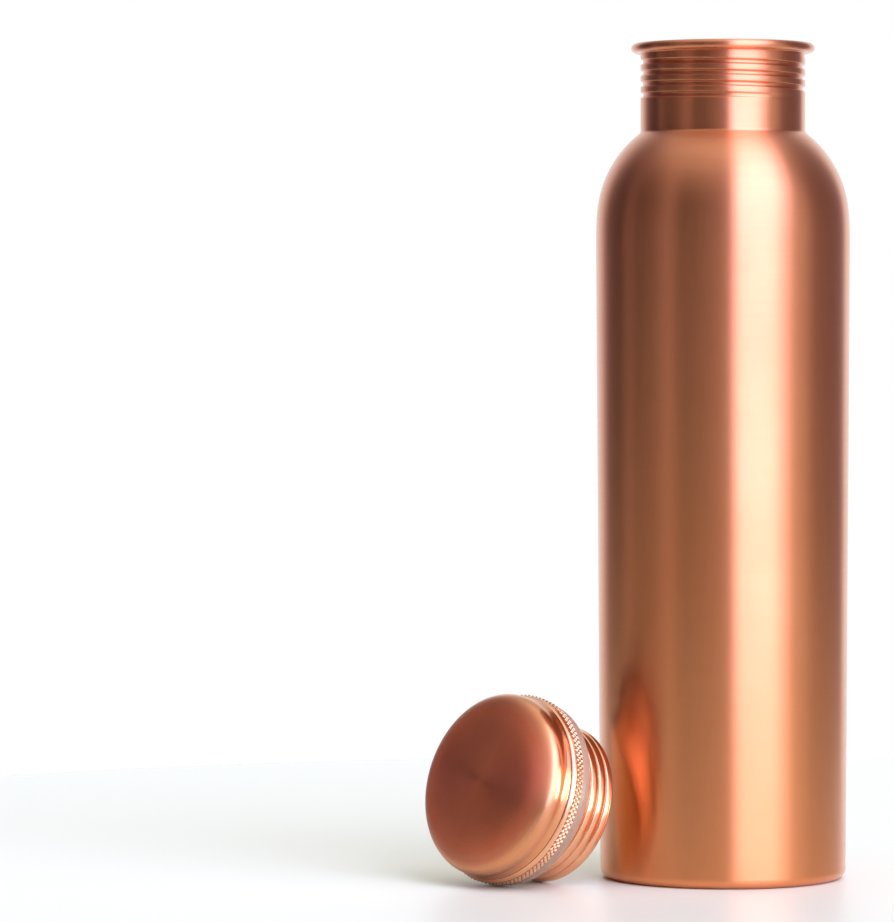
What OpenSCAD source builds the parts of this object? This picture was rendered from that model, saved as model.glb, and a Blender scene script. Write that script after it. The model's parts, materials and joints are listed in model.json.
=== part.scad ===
// Copper water bottle with its screw stopper off and lying beside it.
// Millimetres, +Z up. The origin is the centre of the bottle's flat base.
// The stopper lies on the standing surface, on the seal's edge and the end disc's edge.

/* [Bottle] */
// Radius of the body just above the base corner
base_r = 37.2; // [36:0.1:38]
// Largest radius, where the body wall meets the shoulder
body_r = 38.5; // [38:0.1:39]
// Height at which the body is widest
widest_z = 190; // [186:1:192]
// Radius of the rounded corner at the base
corner_r = 3; // [2:0.5:5]
// Radius of the shoulder's arc
shoulder_r = 33.4; // [32:0.2:34.4]
// Distance of the shoulder arc's centre from the bottle's axis
shoulder_c = 4.85; // [4.6:0.05:5.2]
// Height of the shoulder arc's centre
shoulder_z = 199.3; // [198.8:0.1:200]
// Thickness of the copper sheet
wall = 0.8; // [0.6:0.05:0.9]

/* [Neck] */
// Outside radius of the plain neck and of the thread's crests
neck_r = 25; // [24.8:0.05:25.2]
// Radius of the fillet between shoulder and neck
neck_fillet = 1.2; // [0.8:0.1:1.6]
// Depth of the rolled thread
thread_depth = 0.7; // [0.5:0.05:0.75]
// Distance from one turn of the thread to the next
pitch = 3.34; // [3.2:0.02:3.4]
// Height of the lowest groove of the neck's thread
groove_z = 238.2; // [238:0.1:238.4]
// Number of grooves
grooves = 4; // [3:1:4]

/* [Lip] */
// Height of the bottle
height = 253; // [252.8:0.1:253.4]
// Outside radius of the rolled lip
lip_r = 27.8; // [27.5:0.1:28.2]
// Height of the rolled lip's bead
lip_h = 2.9; // [2.7:0.1:3]
// Gap under the bead between the sheet's edge and the neck
lip_gap = 0.35; // [0.3:0.05:0.5]

/* [Cap] */
// Radius of the crown where the domed face ends and the side begins
crown_r = 27.7; // [27.2:0.1:28]
// Height of the domed face with its broad rounded shoulder
dome_h = 6.2; // [5.5:0.1:6.6]
// Fullness of the dome, a higher power being flatter in the middle
dome_power = 6; // [5:0.5:8]
// Station of the dome's foot along the axis
dome_foot = 4.8; // [4.4:0.1:5]
// Station of the crown's lower edge, at the seam
crown_h = 8.6; // [8.4:0.1:9]
// Depth of the waist in the crown's side
waist = 0.25; // [0.1:0.05:0.3]
// How far the crown's side flares from its shoulder to the seam
flare = 0.3; // [0.1:0.05:0.4]
// Thickness of the crown's sheet
crown_wall = 1; // [0.8:0.1:1.1]
// Radius of the flange
flange_r = 28.9; // [28.8:0.1:29]
// Width of the flange's gripping band
band_h = 2.8; // [2.4:0.1:2.9]
// Outside radius of the plug at the thread's roots
plug_r = 23.25; // [23.1:0.05:23.3]
// Radius of the plug thread's crests
crest_r = 24.1; // [23.95:0.05:24.1]
// Length of the plug's tube below the flange
plug_h = 17; // [16.8:0.1:17.2]
// Radius of the end disc's rim
disc_r = 23.9; // [23.6:0.1:24]
// Thickness of the end disc's rim
disc_h = 1.1; // [1:0.1:1.3]

/* [Seal] */
// Outside radius of the silicone ring
seal_r = 28.2; // [28:0.1:28.3]
// Thickness of the silicone ring
seal_h = 3.8; // [3.5:0.1:3.9]
// Radius of the silicone ring's edges
seal_edge = 0.7; // [0.4:0.1:0.9]
// Clearance between the ring and the copper it turns on
seal_gap = 0.1; // [0.06:0.01:0.1]

/* [Cap resting place] */
// Where the stopper's zero station is, across the bottle
cap_x = -72.9; // [-76:0.1:-72]
// Where the stopper's zero station is, in depth
cap_y = -29.5; // [-36:0.1:-29]
// Turn of the stopper's axis from the depth direction
cap_yaw = 47.5; // [44:0.5:50]

/* [Hidden] */
$fn = 96;
eps = 0.01;
copper = "#b5673f";
mirror_copper = "#c9774a";
silicone = "#d9c3bd";

// Neck and thread
valley_r = neck_r - thread_depth;
land = 0.35;
crest_land = 0.8;

// Fillet between shoulder and neck: its circle touches both
fillet_c = neck_r + neck_fillet;
fillet_z = shoulder_z + sqrt(pow(shoulder_r + neck_fillet, 2) - pow(fillet_c - shoulder_c, 2));
fillet_a = atan2(fillet_z - shoulder_z, fillet_c - shoulder_c);

// Blend from the body's wall into the shoulder's arc
blend_a = 8;
blend_z = shoulder_z + shoulder_r * sin(blend_a);
blend_r = shoulder_c + shoulder_r * cos(blend_a);

// Rolled lip: the bead's circle, and the round of the mouth's inner edge
bead_r = lip_h / 2;
bead_c = lip_r - bead_r;
bead_z = height - bead_r;
mouth_edge = 1.5;
mouth_r = neck_r - wall;

// Stations along the stopper's axis, which increase from the crown's face towards the plug's end
seam_h = 0.15;
seam_depth = 0.5;
step_h = 1.35;
step_in = 0.2;
flange_top = crown_h + seam_h;
band_top = flange_top + step_h;
flange_end = band_top + band_h;
seal_top = flange_end + seal_gap;
seal_end = seal_top + seal_h;
plug_end = flange_end + plug_h;
cap_end = plug_end + disc_h;
spigot_r = crown_r - crown_wall - waist;
spigot_top = crown_h - 2.3;
plug_top = crown_h - 1;
plug_bore = plug_r - wall;
plug_crest_h = plug_end - 2.75;
plug_turns = 3;
runout = 1.1;
disc_edge = 0.5;
disc_recess = 0.4;
disc_sheet = 0.8;

// The stopper lies on two rounded edges: the seal's lower one and the end disc's
rest_along = (cap_end - disc_edge) - (seal_end - seal_edge);
rest_across = (seal_r - seal_edge) - (disc_r - disc_edge);
cap_tilt = atan2(rest_across, rest_along)
    + asin((seal_edge - disc_edge) / sqrt(pow(rest_across, 2) + pow(rest_along, 2)));
cap_z = (seal_end - seal_edge) * sin(cap_tilt) + (seal_r - seal_edge) * cos(cap_tilt) + seal_edge;

// Points of an arc about (r, z), from angle a0 to a1 in n steps
function arc(r, z, radius, a0, a1, n) = [
    for (i = [0 : n])
        let (a = a0 + (a1 - a0) * i / n)
        [r + radius * cos(a), z + radius * sin(a)]
];

// A smooth step between two radii over u from 0 to 1, with end slopes m0 and m1
function ease(p0, m0, p1, m1, u) =
    p0 * (1 + 2 * u) * pow(1 - u, 2) + m0 * u * pow(1 - u, 2)
    + p1 * u * u * (3 - 2 * u) + m1 * u * u * (u - 1);

// The body's wall and shoulder from the base's centre to the neck, inset by t
function body_side(t) = concat(
    [[0, t]],
    arc(base_r - corner_r, corner_r, corner_r - t, -90, 0, 8),
    [
        for (i = [0 : 8])
            let (u = i / 8, span = blend_z - widest_z)
            [ease(body_r, 0, blend_r, -tan(blend_a) * span, u) - t, widest_z + span * u]
    ],
    arc(shoulder_c, shoulder_z, shoulder_r - t, blend_a + 3, fillet_a, 14),
    arc(fillet_c, fillet_z, neck_fillet + t, fillet_a + 180 - 8, 180, 4)
);

// The rolled thread on the neck, as closed rings, inset by t
function neck_thread(t) = concat(
    [[neck_r - t, groove_z - pitch / 2 + crest_land]],
    [
        for (i = [0 : grooves - 1])
            let (z = groove_z + i * pitch)
            each [
                [valley_r - t, z - land],
                [valley_r - t, z + land],
                [neck_r - t, z + pitch / 2 - crest_land],
                [neck_r - t, z + pitch / 2 + (i < grooves - 1 ? crest_land : 0)]
            ]
    ]
);

// Reverses a list of points
function back(points) = [for (i = [len(points) - 1 : -1 : 0]) points[i]];

// The sheet rolled outward over the neck: its inner face, its edge and its outer face
function lip_roll() = concat(
    arc(neck_r + mouth_edge - wall, height - mouth_edge, mouth_edge - wall, 180, 90, 4),
    arc(bead_c, bead_z, bead_r - wall, 90, -90, 10),
    [
        [neck_r + lip_gap, bead_z - bead_r + wall],
        [neck_r + lip_gap, bead_z - bead_r]
    ],
    arc(bead_c, bead_z, bead_r, -90, 90, 14),
    arc(mouth_r + mouth_edge, height - mouth_edge, mouth_edge, 90, 180, 6)
);

// One seamless sheet: base, wall, shoulder, threaded neck and rolled lip
module bottle_shell() {
    color(copper)
    rotate_extrude()
    polygon(concat(
        body_side(0),
        neck_thread(0),
        lip_roll(),
        back(neck_thread(wall)),
        back(body_side(wall))
    ));
}

// Puts what is drawn along +Z from the origin onto the lying stopper's axis
module on_cap_axis() {
    translate([cap_x, cap_y, cap_z])
    rotate([0, 90 + cap_tilt, 90 - cap_yaw])
    children();
}

// The crown's domed face and shoulder from the axis to the dome's foot, n steps long
function dome(across, along, n) = [
    for (i = [0 : n])
        let (a = 90 * i / n)
        [across * pow(sin(a), 2 / dome_power), dome_foot - along * cos(a)]
];

// The crown's side from the dome's foot to the seam: a waist, then a flare
function crown_side(n) = [
    for (i = [1 : n])
        let (u = i / n)
        [crown_r - waist * (1 - cos(360 * u)) / 2 + flare * u * u, dome_foot + (crown_h - dome_foot) * u]
];

// Spun copper crown: domed face, broad rounded shoulder, waisted side
module cap_crown() {
    color(copper)
    on_cap_axis()
    rotate_extrude()
    polygon(concat(
        dome(crown_r, dome_h, 16),
        crown_side(10),
        [[spigot_r, crown_h]],
        back(dome(spigot_r, dome_h - crown_wall, 12))
    ));
}

// Turned flange: spigot in the crown, seam groove, bright step, gripping band
module knurled_flange() {
    chamfer = 0.25;
    color(mirror_copper)
    on_cap_axis()
    difference() {
        rotate_extrude()
        polygon([
            [0, spigot_top],
            [spigot_r, spigot_top],
            [spigot_r, crown_h],
            [crown_r - seam_depth, crown_h],
            [crown_r - seam_depth, flange_top],
            [crown_r + flare, flange_top],
            [flange_r - step_in, band_top],
            [flange_r, band_top + chamfer],
            [flange_r, flange_end - chamfer],
            [flange_r - chamfer, flange_end],
            [0, flange_end]
        ]);
        translate([0, 0, spigot_top - 1])
        cylinder(r = plug_r, h = flange_end - spigot_top + 2);
    }
}

// Threaded copper tube under the flange, its thread drawn as closed rings and running out at the end
module cap_plug() {
    color(mirror_copper)
    on_cap_axis()
    difference() {
        union() {
            translate([0, 0, plug_top])
            cylinder(r = plug_r, h = plug_end - plug_top);
            for (i = [0 : plug_turns - 1])
                translate([0, 0, plug_crest_h - i * pitch])
                thread_ring();
            translate([0, 0, plug_end - runout])
            cylinder(r1 = plug_r, r2 = crest_r - eps, h = runout);
        }
        translate([0, 0, plug_top - 1])
        cylinder(r = plug_bore, h = plug_end - plug_top + 2);
    }
}

// One turn of the plug's thread
module thread_ring() {
    half = pitch / 2 - land;
    rotate_extrude()
    polygon([
        [plug_bore + eps, -half],
        [plug_r, -half],
        [crest_r, -crest_land],
        [crest_r, crest_land],
        [plug_r, half],
        [plug_bore + eps, half]
    ]);
}

// End plate seamed onto the plug's open end
module plug_end_disc() {
    spigot = 1.5;
    color(mirror_copper)
    on_cap_axis()
    rotate_extrude()
    polygon(concat(
        [
            [0, plug_end - disc_sheet + disc_h - disc_recess],
            [plug_bore - wall, plug_end - disc_sheet + disc_h - disc_recess],
            [plug_bore - wall, plug_end - spigot],
            [plug_bore, plug_end - spigot],
            [plug_bore, plug_end],
            [disc_r, plug_end]
        ],
        arc(disc_r - disc_edge, cap_end - disc_edge, disc_edge, 0, 90, 5),
        [
            [disc_r - 3, cap_end],
            [disc_r - 3 - disc_recess, cap_end - disc_recess],
            [0, cap_end - disc_recess]
        ]
    ));
}

// Silicone ring that seals the flange against the lip
module seal_ring() {
    bore = plug_r + seal_gap;
    color(silicone)
    on_cap_axis()
    rotate_extrude()
    polygon(concat(
        [[bore, seal_end], [bore, seal_top]],
        arc(seal_r - seal_edge, seal_top + seal_edge, seal_edge, -90, 0, 5),
        arc(seal_r - seal_edge, seal_end - seal_edge, seal_edge, 0, 90, 5)
    ));
}

bottle_shell();
cap_crown();
knurled_flange();
cap_plug();
plug_end_disc();
seal_ring();
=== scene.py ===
"""A copper water bottle with its screw stopper off and lying beside it.

Outlines are in millimetres, and the meshes that they make are in metres. The stopper's pieces are made
upright round their own Z, from the crown's face towards the plug's end, and then laid on its axis.
"""

import json
import math

import bpy
from mathutils import Matrix, Vector


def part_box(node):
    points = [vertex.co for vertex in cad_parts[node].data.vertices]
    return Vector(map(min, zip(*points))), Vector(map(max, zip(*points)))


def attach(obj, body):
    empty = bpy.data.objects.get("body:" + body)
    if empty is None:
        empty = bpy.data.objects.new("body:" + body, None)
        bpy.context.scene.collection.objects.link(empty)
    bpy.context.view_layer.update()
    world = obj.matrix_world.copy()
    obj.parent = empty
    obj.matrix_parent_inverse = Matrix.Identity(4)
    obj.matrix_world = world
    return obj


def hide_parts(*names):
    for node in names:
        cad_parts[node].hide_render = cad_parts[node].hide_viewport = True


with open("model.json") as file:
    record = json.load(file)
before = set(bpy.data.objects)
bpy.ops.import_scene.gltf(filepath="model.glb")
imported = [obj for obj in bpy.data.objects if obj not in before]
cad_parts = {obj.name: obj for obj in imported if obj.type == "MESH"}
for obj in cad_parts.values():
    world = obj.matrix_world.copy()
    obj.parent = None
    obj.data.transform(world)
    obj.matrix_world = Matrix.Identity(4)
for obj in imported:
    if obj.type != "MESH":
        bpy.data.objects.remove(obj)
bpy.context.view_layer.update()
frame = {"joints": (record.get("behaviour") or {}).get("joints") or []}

MM = 0.001
UV_MAP = "round_and_along"

# The bottle's places, from the CAD nodes
bottle_low, bottle_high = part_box("bottle_shell")
HEIGHT = bottle_high.z / MM
BODY_R = bottle_high.x / MM

# The bottle's sizes that its box doesn't give
BASE_R = 37.2
CORNER_R = 3
WIDEST_Z = 190
SHOULDER_R = 33.4
SHOULDER_C = 4.85
SHOULDER_Z = 199.3
WALL = 0.8
NECK_R = 25
NECK_FILLET = 1.2
LIP_R = 27.8
LIP_H = 2.9
LIP_GAP = 0.35
MOUTH_EDGE = 1.5

# The screw thread, which is left-handed, as its slope in view shows
PITCH = 3.34
THREAD_DEPTH = 0.7
GROOVE_LAND = 0.3
GROOVE_FLANK = 0.62
GROOVE_TOP_Z = 249.07
GROOVE_TURNS = (-0.1, 3.95)
THREAD_LOW_Z = 234
THREAD_HIGH_Z = 249.9

# The stopper's stations along its axis and its radii
CROWN_R = 27.7
CROWN_EDGE_H = 4.8
DOME_H = 6.2
DOME_POWER = 6
CROWN_H = 8.6
WAIST = 0.25
FLARE = 0.3
CROWN_WALL = 1
SEAM_H = 0.15
SEAM_DEPTH = 0.5
FLANGE_R = 28.9
FLANGE_TOP = CROWN_H + SEAM_H
BAND_TOP = FLANGE_TOP + 1.35
BAND_H = 2.8
FLANGE_END = BAND_TOP + BAND_H
SPIGOT_R = CROWN_R - CROWN_WALL - WAIST
SPIGOT_TOP = CROWN_H - 2.3
PLUG_R = 23.25
PLUG_BORE = PLUG_R - 0.8
PLUG_TOP = CROWN_H - 1
PLUG_CREST = 0.85
PLUG_CREST_H = 27.15
PLUG_END = FLANGE_END + 17
DISC_R = 23.9
DISC_SHEET = 0.8
CAP_END = PLUG_END + 1.1
SEAL_R = 28.2
SEAL_GAP = 0.1
SEAL_TOP = FLANGE_END + SEAL_GAP
SEAL_END = SEAL_TOP + 3.8

# The knurl: diamonds round the band, half diamonds across it, steps in half a diamond
DIAMONDS = 112
HALF_ROWS = 3
DIAMOND_STEPS = 4
KNURL_DEPTH = 0.32
KNURL_ROWS = HALF_ROWS * DIAMOND_STEPS
FLANGE_COLUMNS = DIAMONDS * 2 * DIAMOND_STEPS

# The row of the flange's outline at which the knurl starts
KNURL_FROM = 15


# ---------------------------------------------------------------- meshes

def arc(r, z, across, along, start, end, steps):
    """Points of an ellipse about (r, z), with its angles in degrees."""
    turns = [math.radians(start + (end - start) * i / steps) for i in range(steps + 1)]
    return [(r + across * math.cos(a), z + along * math.sin(a)) for a in turns]


def smooth(low, high, x):
    """0 below low, 1 above high, and a smooth step between."""
    t = min(max((x - low) / (high - low), 0), 1)
    return t * t * (3 - 2 * t)


def steps_between(low, high, steps):
    """Evenly spaced values from low to high, both included."""
    return [low + (high - low) * i / steps for i in range(steps + 1)]


def spin(name, columns, outline, place, closed=False, split=None):
    """A mesh spun round Z and laid in its place. outline(turn) gives the (radius, z) points of a column.

    A radius of 0 is a pole. split(column, row) says which way a face is cut in two. The UV map runs
    round the axis in U and along the outline in V.
    """
    verts, index = [], []
    poles = {}
    for i in range(columns):
        a = 2 * math.pi * i / columns
        row = []
        for j, (r, z) in enumerate(outline(i / columns)):
            if r == 0 and j in poles:
                row.append(poles[j])
                continue
            if r == 0:
                poles[j] = len(verts)
            row.append(len(verts))
            verts.append((r * math.cos(a) * MM, r * math.sin(a) * MM, z * MM))
        index.append(row)
    faces, spots = [], []
    count = len(index[0])
    for i in range(columns):
        here, beside = index[i], index[(i + 1) % columns]
        for j in range(count if closed else count - 1):
            k = (j + 1) % count
            corners = {
                here[j]: (i, j),
                beside[j]: (i + 1, j),
                beside[k]: (i + 1, j + 1),
                here[k]: (i, j + 1),
            }
            ring = list(corners)
            way = split(i, j) if split and len(ring) == 4 else None
            if way is None:
                cut = [ring]
            elif way:
                cut = [ring[:3], [ring[0], ring[2], ring[3]]]
            else:
                cut = [[ring[0], ring[1], ring[3]], ring[1:]]
            faces += cut
            spots += [(corners[v][0] / columns, corners[v][1] / count) for face in cut for v in face]
    mesh = bpy.data.meshes.new(name)
    mesh.from_pydata(verts, [], faces)
    uv_map = mesh.uv_layers.new(name=UV_MAP)
    uv_map.data.foreach_set("uv", [c for spot in spots for c in spot])
    mesh.transform(place)
    mesh.polygons.foreach_set("use_smooth", [True] * len(mesh.polygons))
    mesh.update()
    piece = bpy.data.objects.new(name, mesh)
    bpy.context.scene.collection.objects.link(piece)
    return piece


def crease(piece, degrees):
    """Shades edges sharper than this as creases."""
    piece.data.set_sharp_from_angle(angle=math.radians(degrees))


# ---------------------------------------------------------------- bottle

def body_side(inset):
    """The bottle's base, wall and shoulder up to the neck, for the outer or the inner face."""
    blend = 8
    blend_r = SHOULDER_C + SHOULDER_R * math.cos(math.radians(blend))
    blend_z = SHOULDER_Z + SHOULDER_R * math.sin(math.radians(blend))
    fillet_c = NECK_R + NECK_FILLET
    reach = SHOULDER_R + NECK_FILLET
    fillet_z = SHOULDER_Z + math.sqrt(reach ** 2 - (fillet_c - SHOULDER_C) ** 2)
    meet = math.degrees(math.atan2(fillet_z - SHOULDER_Z, fillet_c - SHOULDER_C))
    lean = -math.tan(math.radians(blend)) * (blend_z - WIDEST_Z)
    points = [(0, inset), (12, inset), (24, inset)]
    points += arc(BASE_R - CORNER_R, CORNER_R, CORNER_R - inset, CORNER_R - inset, -90, 0, 16)
    for z in steps_between(CORNER_R, WIDEST_Z, 24)[1:-1]:
        points.append((BASE_R + (BODY_R - BASE_R) * (z - CORNER_R) / (WIDEST_Z - CORNER_R) - inset, z))
    for u in steps_between(0, 1, 16):
        r = BODY_R * (1 + 2 * u) * (1 - u) ** 2 + blend_r * u * u * (3 - 2 * u) + lean * u * u * (u - 1)
        points.append((r - inset, WIDEST_Z + (blend_z - WIDEST_Z) * u))
    points += arc(SHOULDER_C, SHOULDER_Z, SHOULDER_R - inset, SHOULDER_R - inset, blend + 2, meet, 40)
    points += arc(fillet_c, fillet_z, NECK_FILLET + inset, NECK_FILLET + inset, meet + 172, 180, 8)
    return points


def groove(z, turn):
    """How deep the neck's helical groove is at this height and fraction of a turn."""
    nearest = round((GROOVE_TOP_Z - z) / PITCH - turn)
    along = turn + nearest
    off = abs(z - (GROOVE_TOP_Z - PITCH * along))
    start, end = GROOVE_TURNS
    run = smooth(start, start + 0.25, along) * (1 - smooth(end - 0.3, end, along))
    crown = 0.05 * math.cos(2 * math.pi * min(off / PITCH, 0.5)) + 0.05
    return THREAD_DEPTH * run * (1 - smooth(GROOVE_LAND, GROOVE_LAND + GROOVE_FLANK, off)) + crown * run


def bottle_outline(turn):
    """The whole sheet: outside from the base up, over the rolled lip, and down the inside."""
    bead = LIP_H / 2
    bead_c, bead_z = LIP_R - bead, HEIGHT - bead
    mouth_r = NECK_R - WALL
    heights = steps_between(THREAD_LOW_Z, THREAD_HIGH_Z, 120)
    points = body_side(0)
    points += [(NECK_R, z) for z in (229, 231, 233)]
    points += [(NECK_R - groove(z, turn), z) for z in heights]
    points.append((bead_c, bead_z - bead + WALL))
    points += [(NECK_R + LIP_GAP, bead_z - bead + WALL), (NECK_R + LIP_GAP, bead_z - bead)]
    points += arc(bead_c, bead_z, bead, bead, -90, 90, 20)
    points += arc(mouth_r + MOUTH_EDGE, HEIGHT - MOUTH_EDGE, MOUTH_EDGE, MOUTH_EDGE, 90, 180, 8)
    points += [(mouth_r - groove(z, turn), z) for z in heights[::-2]]
    points += body_side(WALL)[::-1]
    return points


def make_bottle():
    piece = spin("copper_bottle", 192, bottle_outline, Matrix.Identity(4))
    crease(piece, 40)
    return piece


# ---------------------------------------------------------------- stopper

def stopper_place():
    """The matrix that lays what is made upright round Z onto the stopper's axis."""
    turn = next(j for j in frame["joints"] if j["name"] == "cap_turn")
    axis = Vector(turn["axis"]).normalized()
    origin = Vector(turn["pos_m"]) - axis * SEAL_END * MM
    across = Vector((0, 0, 1)).cross(axis).normalized()
    rotation = Matrix((across, axis.cross(across), axis)).transposed().to_4x4()
    return Matrix.Translation(origin) @ rotation


lying = stopper_place()


def dome(across, along):
    """Points of the domed face and its shoulder, from the axis out, for the outer or the inner face."""
    points = []
    for a in steps_between(0, math.pi / 2, 48):
        points.append((across * math.sin(a) ** (2 / DOME_POWER), CROWN_EDGE_H - along * math.cos(a)))
    points[0] = (0, CROWN_EDGE_H - along)
    return points


def crown_outline(_turn):
    """The crown's sheet: domed face, rounded shoulder, waisted side, flared edge, and the inner face."""
    edge = 0.1
    side = CROWN_H - edge - CROWN_EDGE_H
    points = dome(CROWN_R, DOME_H)
    for u in steps_between(0, 1, 24)[1:-1]:
        dip = WAIST * (1 - math.cos(2 * math.pi * u)) / 2
        points.append((CROWN_R - dip + FLARE * u * u, CROWN_EDGE_H + side * u))
    points += arc(CROWN_R + FLARE - edge, CROWN_H - edge, edge, edge, 0, 90, 4)
    points += [(SPIGOT_R, CROWN_H)]
    points += dome(SPIGOT_R, DOME_H - CROWN_WALL)[::-1]
    return points


def knurl_height(column, row):
    """How far a point of the knurl stands up from its grooves, from 0 to 1."""
    u = column / (2 * DIAMOND_STEPS)
    v = row / (2 * DIAMOND_STEPS)
    low = min(1 - abs(2 * ((p + 0.5) % 1) - 1) for p in (u + v + 0.5, u - v + 0.5))
    flat = 0.67
    return min(low, flat) / flat


def flange_outline(turn):
    """The flange from inside the crown, over the bright step and the knurled band, to its lower face."""
    column = round(turn * FLANGE_COLUMNS)
    chamfer = 0.25
    foot = CROWN_R + FLARE
    points = [(PLUG_R, SPIGOT_TOP), (SPIGOT_R, SPIGOT_TOP)]
    points += [(SPIGOT_R, CROWN_H), (CROWN_R - SEAM_DEPTH, CROWN_H)]
    points += [(CROWN_R - SEAM_DEPTH, FLANGE_TOP - 0.02)]
    for u in steps_between(0, 1, 8):
        bulge = 0.12 * math.sin(math.pi * u)
        r = foot + (FLANGE_R - 0.2 - foot) * u
        points.append((r + bulge, FLANGE_TOP + (BAND_TOP - FLANGE_TOP) * u - bulge))
    points.append((FLANGE_R - KNURL_DEPTH - 0.05, BAND_TOP + 0.02))
    for row in range(KNURL_ROWS + 1):
        z = BAND_TOP + 0.04 + (FLANGE_END - chamfer - BAND_TOP - 0.04) * row / KNURL_ROWS
        points.append((FLANGE_R - KNURL_DEPTH * (1 - knurl_height(column, row)), z))
    points.append((FLANGE_R - KNURL_DEPTH - 0.1, FLANGE_END))
    points.append((PLUG_R, FLANGE_END))
    return points


def knurl_split(column, row):
    """Cuts the knurl's faces along its grooves."""
    row -= KNURL_FROM
    if not 0 <= row < KNURL_ROWS:
        return None
    return (column // DIAMOND_STEPS + row // DIAMOND_STEPS) % 2 == 0


def ridge(z, turn, first):
    """How far the plug's helical thread, a low rounded roof, stands out at this station and turn."""
    along = turn + round((first - z) / PITCH - turn)
    u = 2 * (z - (first - PITCH * along)) / PITCH
    roof = math.hypot(u, 0.1) - 0.1
    return PLUG_CREST * (1 - 0.24 * roof - 0.76 * u ** 8)


def make_crown():
    piece = spin("domed_crown", 192, crown_outline, lying)
    crease(piece, 40)
    return piece


def make_flange():
    piece = spin("knurled_ring", FLANGE_COLUMNS, flange_outline, lying, closed=True, split=knurl_split)
    crease(piece, 32)
    return piece


def make_plug():
    """The tube with its thread, whose crests pass the CAD rings' stations a quarter turn round."""
    first = PLUG_CREST_H + PITCH * 0.25

    def outline(turn):
        points = [(PLUG_BORE, PLUG_TOP), (PLUG_R, PLUG_TOP), (PLUG_R, SEAL_END - 0.3)]
        for z in steps_between(SEAL_END, PLUG_END, 100):
            points.append((PLUG_R + ridge(z, turn, first), z))
        points.append((PLUG_BORE, PLUG_END))
        return points

    piece = spin("threaded_plug", 192, outline, lying, closed=True)
    crease(piece, 40)
    return piece


def disc_outline(_turn):
    """The seamed end plate: spigot inside the tube, rolled rim, groove and dished middle."""
    spigot_end = PLUG_END - 1.5
    middle = CAP_END - 0.4
    under = middle - DISC_SHEET
    bore = PLUG_BORE - DISC_SHEET
    small, edge = 0.25, 0.5
    points = [(0, under), (bore, under), (bore, spigot_end)]
    points += [(PLUG_BORE, spigot_end), (PLUG_BORE, PLUG_END)]
    points += arc(DISC_R - small, PLUG_END + small, small, small, -90, 0, 4)
    points += arc(DISC_R - edge, CAP_END - edge, edge, edge, 0, 90, 8)
    points += arc(DISC_R - 2.6, CAP_END - edge, edge, edge, 90, 150, 5)
    points += arc(DISC_R - 4, middle + edge, edge, edge, -30, -90, 5)
    points += [(r, middle) for r in (14, 8, 0)]
    return points


def make_disc():
    piece = spin("end_plate", 192, disc_outline, lying)
    crease(piece, 40)
    return piece


def seal_outline(_turn):
    """The silicone ring's section, with a faint parting line round its outer face."""
    bore = PLUG_R + SEAL_GAP
    chamfer = 0.2
    edge = 0.7
    line_half = 0.16
    skin = SEAL_R - 0.06
    middle = (SEAL_TOP + SEAL_END) / 2
    points = [(bore + chamfer, SEAL_END), (bore, SEAL_END - chamfer)]
    points += [(bore, SEAL_TOP + chamfer), (bore + chamfer, SEAL_TOP)]
    points += arc(skin - edge, SEAL_TOP + edge, edge, edge, -90, 0, 8)
    points += [(skin, middle - line_half), (SEAL_R, middle), (skin, middle + line_half)]
    points += arc(skin - edge, SEAL_END - edge, edge, edge, 0, 90, 8)
    return points


def make_seal():
    piece = spin("silicone_seal", 192, seal_outline, lying, closed=True)
    crease(piece, 40)
    return piece


# ---------------------------------------------------------------- materials

def add(tree, kind, inputs=None, **settings):
    """Adds a node. inputs gives each socket a value, or another node's output to link."""
    node = tree.nodes.new("ShaderNode" + kind)
    for key, value in settings.items():
        setattr(node, key, value)
    for key, value in (inputs or {}).items():
        if isinstance(value, bpy.types.NodeSocket):
            tree.links.new(value, node.inputs[key])
        else:
            node.inputs[key].default_value = value
    return node


def upright(tree, place):
    """Coordinates in millimetres of a piece laid in its place, as if it still stood upright round Z."""
    inputs = {
        "Vector": add(tree, "TexCoord").outputs["Object"],
        "Location": place.to_translation(),
        "Rotation": place.to_euler(),
        "Scale": (MM, MM, MM),
    }
    return add(tree, "Mapping", inputs, vector_type="TEXTURE").outputs["Vector"]


def stretched(tree, vector, scale):
    return add(tree, "VectorMath", {0: vector, 1: scale}, operation="MULTIPLY").outputs["Vector"]


def noise(tree, vector, scale, detail=3, roughness=0.55):
    """Noise with a grain of about 1 / scale millimetres along each axis."""
    grid = stretched(tree, vector, scale)
    inputs = {"Vector": grid, "Scale": 1, "Detail": detail, "Roughness": roughness}
    return add(tree, "TexNoise", inputs).outputs["Fac"]


def ring_noise(tree, vector, grain, detail=4):
    """Noise that changes only with the distance from the axis, as turning leaves it on a face."""
    flat = stretched(tree, vector, (1, 1, 0))
    distance = add(tree, "VectorMath", {0: flat}, operation="LENGTH").outputs["Value"]
    inputs = {"W": distance, "Scale": 1 / grain, "Detail": detail, "Roughness": 0.6}
    return add(tree, "TexNoise", inputs, noise_dimensions="1D").outputs["Fac"]


def spread(tree, value, low, high, to_low, to_high):
    """Maps a value from one range to another, clamped."""
    inputs = {"Value": value, "From Min": low, "From Max": high, "To Min": to_low, "To Max": to_high}
    return add(tree, "MapRange", inputs).outputs["Result"]


def blend_colours(tree, amount, first, second):
    """A colour between two, by an amount from 0 to 1."""
    node = add(tree, "Mix", {0: amount}, data_type="RGBA")
    for slot, colour in ((6, first), (7, second)):
        if isinstance(colour, bpy.types.NodeSocket):
            tree.links.new(colour, node.inputs[slot])
        else:
            node.inputs[slot].default_value = (*colour, 1)
    return node.outputs[2]


def total(tree, *values):
    """The sum of some values."""
    result = values[0]
    for value in values[1:]:
        result = add(tree, "Math", {0: result, 1: value}, operation="ADD").outputs[0]
    return result


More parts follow.
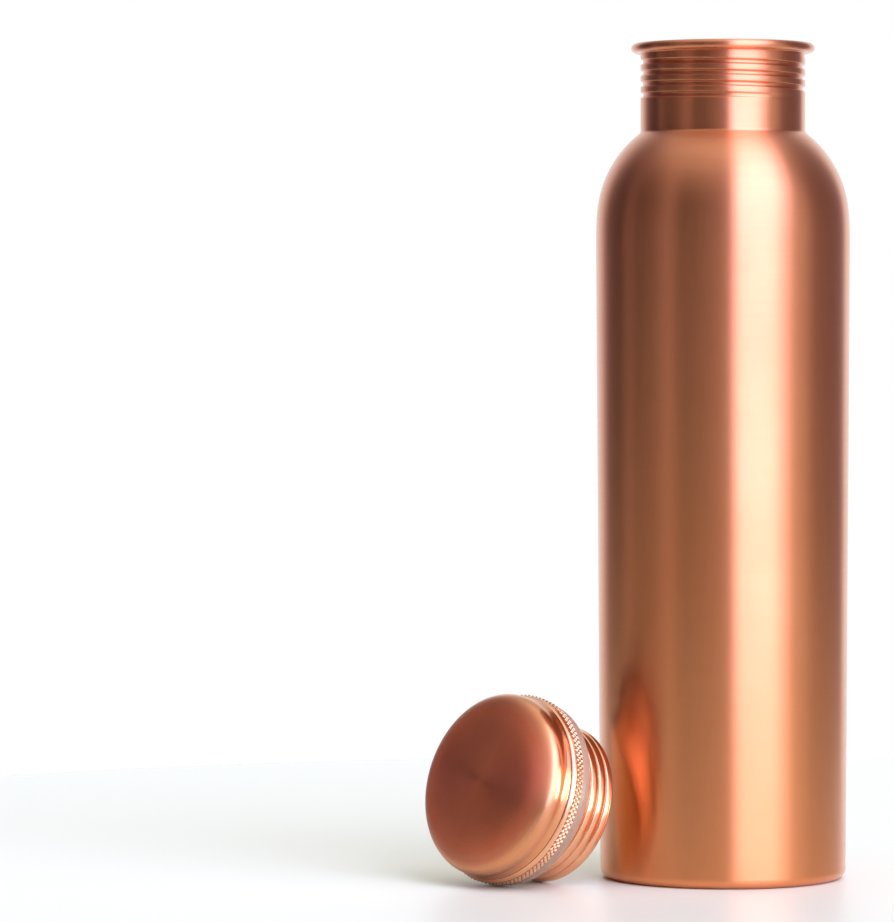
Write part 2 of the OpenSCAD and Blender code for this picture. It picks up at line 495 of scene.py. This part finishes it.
def times(tree, value, factor):
    return add(tree, "Math", {0: value, 1: factor}, operation="MULTIPLY").outputs[0]


def new_material(name):
    material = bpy.data.materials.new(name)
    material.use_nodes = True
    return material, material.node_tree, material.node_tree.nodes["Principled BSDF"]


def set_metal(tree, shader, colour, rough, height, distance, lines=0.0):
    """Wires a lacquered metal: colour, roughness, relief in millimetres, and how strongly lines show."""
    shader.inputs["Metallic"].default_value = 1
    shader.inputs["Anisotropic"].default_value = lines
    shader.inputs["Anisotropic Rotation"].default_value = 0.25
    shader.inputs["Coat Weight"].default_value = 0.5
    shader.inputs["Coat Roughness"].default_value = 0.25
    tree.links.new(colour, shader.inputs["Base Color"])
    tree.links.new(rough, shader.inputs["Roughness"])
    tangent = add(tree, "Tangent", direction_type="UV_MAP", uv_map=UV_MAP)
    tree.links.new(tangent.outputs[0], shader.inputs["Tangent"])
    bump = add(tree, "Bump", {"Height": height, "Distance": distance * MM, "Strength": 1})
    tree.links.new(bump.outputs[0], shader.inputs["Normal"])


def body_copper():
    """Lacquered copper with fine polishing lines round the axis, a faint uneven tone, and a painted
    reflection: a deeper orange towards the base.
    """
    material, tree, shader = new_material("body_copper")
    spot = upright(tree, Matrix.Identity(4))
    cloud = noise(tree, spot, (0.03, 0.03, 0.02), 4)
    lines = noise(tree, spot, (0.05, 0.05, 1.6), 5, 0.65)
    tone = spread(tree, cloud, 0.35, 0.65, 0, 1)
    colour = blend_colours(tree, tone, (0.80, 0.30, 0.135), (0.75, 0.265, 0.115))
    streak = spread(tree, lines, 0.3, 0.7, 0, 0.2)
    colour = blend_colours(tree, streak, colour, (0.70, 0.235, 0.095))
    height = add(tree, "SeparateXYZ", {0: spot}).outputs["Z"]
    # Painted reflection: towards the base the copper turns a deeper orange, standing in for a warm
    # floor's reflection.
    colour = blend_colours(tree, spread(tree, height, 0, 200, 0.6, 0), colour, (0.80, 0.29, 0.085))
    uneven = total(tree, times(tree, lines, 0.6), times(tree, cloud, 0.4))
    rough = spread(tree, uneven, 0.3, 0.7, 0.3, 0.36)
    waves = times(tree, noise(tree, spot, (0.02, 0.02, 0.012), 1), 0.3)
    set_metal(tree, shader, colour, rough, total(tree, times(tree, lines, 0.0025), waves), 1, 0.93)
    return material


def crown_copper():
    """Copper with a face turned to a fine satin and a polished side."""
    material, tree, shader = new_material("crown_copper")
    spot = upright(tree, lying)
    rings = ring_noise(tree, spot, 0.35)
    cloud = noise(tree, spot, (0.06, 0.06, 0.06), 4)
    tone = spread(tree, cloud, 0.35, 0.65, 0, 1)
    station = add(tree, "SeparateXYZ", {0: spot}).outputs["Z"]
    colour = blend_colours(tree, tone, (0.83, 0.24, 0.11), (0.77, 0.2, 0.085))
    colour = blend_colours(tree, spread(tree, rings, 0.3, 0.7, 0, 0.3), colour, (0.70, 0.17, 0.07))
    colour = blend_colours(tree, spread(tree, station, -0.6, 2, 0, 1), colour, (0.68, 0.28, 0.12))
    satin = add(tree, "Math", {
        0: spread(tree, station, -1.38, -0.6, 0.24, 0.42),
        1: spread(tree, station, 0.4, 2.2, 1, 0.15),
    }, operation="MULTIPLY").outputs[0]
    rough = total(tree, spread(tree, rings, 0.3, 0.7, 0.13, 0.18), satin)
    set_metal(tree, shader, colour, rough, times(tree, rings, 0.003), 1, 0.8)
    return material


def bright_copper(name, painted_groove_shade=0):
    """Bright turned copper. The second argument is how much shade is painted into the knurl's grooves,
    from 0 to 1.
    """
    material, tree, shader = new_material(name)
    spot = upright(tree, lying)
    lines = noise(tree, spot, (0.08, 0.08, 2.5), 4)
    cloud = noise(tree, spot, (0.1, 0.1, 0.1), 3)
    tone = spread(tree, cloud, 0.35, 0.65, 0, 1)
    colour = blend_colours(tree, tone, (0.87, 0.44, 0.23), (0.83, 0.39, 0.195))
    if painted_groove_shade:
        # Painted shade: the knurl's grooves are darkened towards their roots, below the crests.
        flat = stretched(tree, spot, (1, 1, 0))
        radius = add(tree, "VectorMath", {0: flat}, operation="LENGTH").outputs["Value"]
        station = add(tree, "SeparateXYZ", {0: spot}).outputs["Z"]
        low = spread(tree, radius, FLANGE_R - KNURL_DEPTH, FLANGE_R - 0.1, painted_groove_shade, 0)
        band = spread(tree, station, BAND_TOP - 0.02, BAND_TOP + 0.02, 0, 1)
        groove_painted_shade = add(tree, "Math", {0: low, 1: band}, operation="MULTIPLY").outputs[0]
        colour = blend_colours(tree, band, colour, (0.78, 0.42, 0.22))
        colour = blend_colours(tree, groove_painted_shade, colour, (0.22, 0.07, 0.03))
    rough = spread(tree, lines, 0.3, 0.7, 0.2, 0.26)
    set_metal(tree, shader, colour, rough, times(tree, lines, 0.002), 1, 0.75)
    return material


def clear_silicone():
    """Milky, slightly pink translucent silicone with a satin skin."""
    material, tree, shader = new_material("clear_silicone")
    spot = upright(tree, lying)
    cloud = noise(tree, spot, (0.15, 0.15, 0.15), 3)
    grain = noise(tree, spot, (3, 3, 3), 3)
    colour = blend_colours(tree, cloud, (0.50, 0.33, 0.215), (0.43, 0.27, 0.17))
    tree.links.new(colour, shader.inputs["Base Color"])
    tree.links.new(spread(tree, grain, 0.3, 0.7, 0.32, 0.42), shader.inputs["Roughness"])
    shader.inputs["IOR"].default_value = 1.41
    shader.inputs["Subsurface Weight"].default_value = 0.5
    shader.inputs["Subsurface Radius"].default_value = (1, 0.6, 0.5)
    shader.inputs["Subsurface Scale"].default_value = 2.5 * MM
    shader.inputs["Transmission Weight"].default_value = 0.25
    bump = add(tree, "Bump", {"Height": grain, "Distance": 0.01 * MM, "Strength": 1})
    tree.links.new(bump.outputs[0], shader.inputs["Normal"])
    return material


# ---------------------------------------------------------------- studio

# The surroundings' brightness round the horizon, as (degrees to the camera's right, brightness)
SURROUND = (
    (-180, 1.05), (-150, 0.8), (-142, 0.5), (-134, 0.16), (-112, 0.06), (-100, 0.22), (-88, 0.08),
    (-70, 0.13), (-54, 0.33), (-42, 0.06), (-28, 0.1), (-14, 0.2), (0, 0.34), (60, 0.7), (75, 0.68),
    (90, 0.25), (105, 0.21), (122, 0.22), (136, 0.28), (146, 0.95), (180, 1.05),
)

# The softbox's brightness, as (sine of the height, brightness)
SOFTBOX = ((0, 2.8), (0.3, 3.2), (0.75, 3.4), (0.9, 2.2), (1, 1.5))


def ramp(tree, value, low, stops):
    """The brightness that stops of (place, brightness) give to a value, low being the first place."""
    high = stops[-1][0]
    scale = max(level for _place, level in stops)
    node = add(tree, "ValToRGB", {0: spread(tree, value, low, high, 0, 1)})
    elements = node.color_ramp.elements
    for number, (place, level) in enumerate(stops):
        stop = elements[number] if number < 2 else elements.new(1)
        stop.position = (place - low) / (high - low)
        stop.color = (level / scale,) * 3 + (1,)
    return times(tree, add(tree, "RGBToBW", {0: node.outputs[0]}).outputs[0], scale)


def make_world():
    """White to the camera. To the object it is a dim warm room, with a softbox over its right front."""
    world = bpy.data.worlds.new("studio")
    world.use_nodes = True
    bpy.context.scene.world = world
    tree = world.node_tree
    tree.nodes.clear()
    way = add(tree, "TexCoord").outputs["Generated"]
    x, y, z = add(tree, "SeparateXYZ", {0: way}).outputs
    angle = add(tree, "Math", {0: x, 1: times(tree, y, -1)}, operation="ARCTAN2").outputs[0]
    level = ramp(tree, times(tree, angle, 180 / math.pi), -180, SURROUND)
    ceiling = spread(tree, z, 0.7, 1, 0.5, 1.3)
    overhead = spread(tree, z, 0.5, 0.85, 0, 1)
    room = add(tree, "Mix", {0: overhead, 2: level, 3: ceiling}, data_type="FLOAT")
    left_edge = spread(tree, x, 0.06, 0.2, 0, 1)
    tilt = add(tree, "VectorMath", {0: way, 1: (-0.505, -0.808, 0.303)}, operation="DOT_PRODUCT")
    right_edge = spread(tree, tilt.outputs["Value"], -0.09, 0.26, 0, 1)
    box = times(tree, times(tree, left_edge, right_edge), ramp(tree, z, 0, SOFTBOX))
    dim = room.outputs[0]
    tint = blend_colours(tree, spread(tree, dim, 0.2, 0.8, 0, 1), (1, 0.79, 0.98), (1, 1, 1))
    warm = add(tree, "VectorMath", {0: tint, 3: dim}, operation="SCALE")
    cool = add(tree, "VectorMath", {0: (1, 1.03, 1.7), 3: box}, operation="SCALE")
    light = add(tree, "VectorMath", {0: warm.outputs[0], 1: cool.outputs[0]}, operation="ADD")
    seen = add(tree, "Background", {"Color": (1, 1, 1, 1), "Strength": 1})
    lit = add(tree, "Background", {"Color": light.outputs[0], "Strength": 1})
    eye = add(tree, "LightPath").outputs["Is Camera Ray"]
    both = add(tree, "MixShader", {0: eye, 1: lit.outputs[0], 2: seen.outputs[0]})
    add(tree, "OutputWorld", {"Surface": both.outputs[0]})


def make_floor():
    """A plain pale round table top."""
    radius, sides = 0.42, 96
    mesh = bpy.data.meshes.new("floor")
    turns = [2 * math.pi * i / sides for i in range(sides)]
    rim = [(radius * math.cos(a), radius * math.sin(a), 0) for a in turns]
    mesh.from_pydata(rim, [], [tuple(range(sides))])
    floor = bpy.data.objects.new("floor", mesh)
    bpy.context.scene.collection.objects.link(floor)
    material, _tree, shader = new_material("pale_floor")
    shader.inputs["Base Color"].default_value = (0.86, 0.895, 0.7, 1)
    shader.inputs["Roughness"].default_value = 0.38
    mesh.materials.append(material)


def make_card():
    """A soft white card before the bottle on its right, which only the stopper's side mirrors."""
    width, height, level = 0.03, 0.07, 1.2
    data = bpy.data.lights.new("card", "AREA")
    data.shape = "RECTANGLE"
    data.size, data.size_y = width, height
    data.energy = level * math.pi * width * height
    data.spread = math.radians(50)
    card = bpy.data.objects.new("card", data)
    card.location = (0.045, -0.077, 0.047)
    card.rotation_euler = (math.radians(90), 0, math.radians(75))
    card.visible_camera = False
    bpy.context.scene.collection.objects.link(card)


def make_camera():
    """A long lens level with the bottle's shoulder, with the frame shifted down to the floor."""
    data = bpy.data.cameras.new("camera")
    data.lens = 192.75
    data.sensor_width = 36
    data.shift_y = -0.142
    camera = bpy.data.objects.new("camera", data)
    camera.location = (-0.0838, -1.5, 0.166)
    camera.rotation_euler = (math.radians(90), 0, 0)
    bpy.context.scene.collection.objects.link(camera)
    bpy.context.scene.camera = camera


# ---------------------------------------------------------------- assembly

def fit(piece, node, body, material):
    """Gives a piece its material, and lets it stand for a CAD node on its body."""
    piece.data.materials.append(material)
    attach(piece, body)
    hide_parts(node)


make_world()
make_floor()
make_card()
make_camera()

crown_metal = crown_copper()
bright_metal = bright_copper("bright_copper")
# The knurled band gets painted shade in its grooves.
knurled_metal = bright_copper("knurled_copper", 0.6)
fit(make_bottle(), "bottle_shell", "bottle", body_copper())
fit(make_crown(), "cap_crown", "cap", crown_metal)
fit(make_flange(), "knurled_flange", "cap", knurled_metal)
fit(make_plug(), "cap_plug", "cap", bright_metal)
fit(make_disc(), "plug_end_disc", "cap", bright_metal)
fit(make_seal(), "seal_ring", "seal", clear_silicone())

bpy.context.scene.view_settings.view_transform = "Standard"
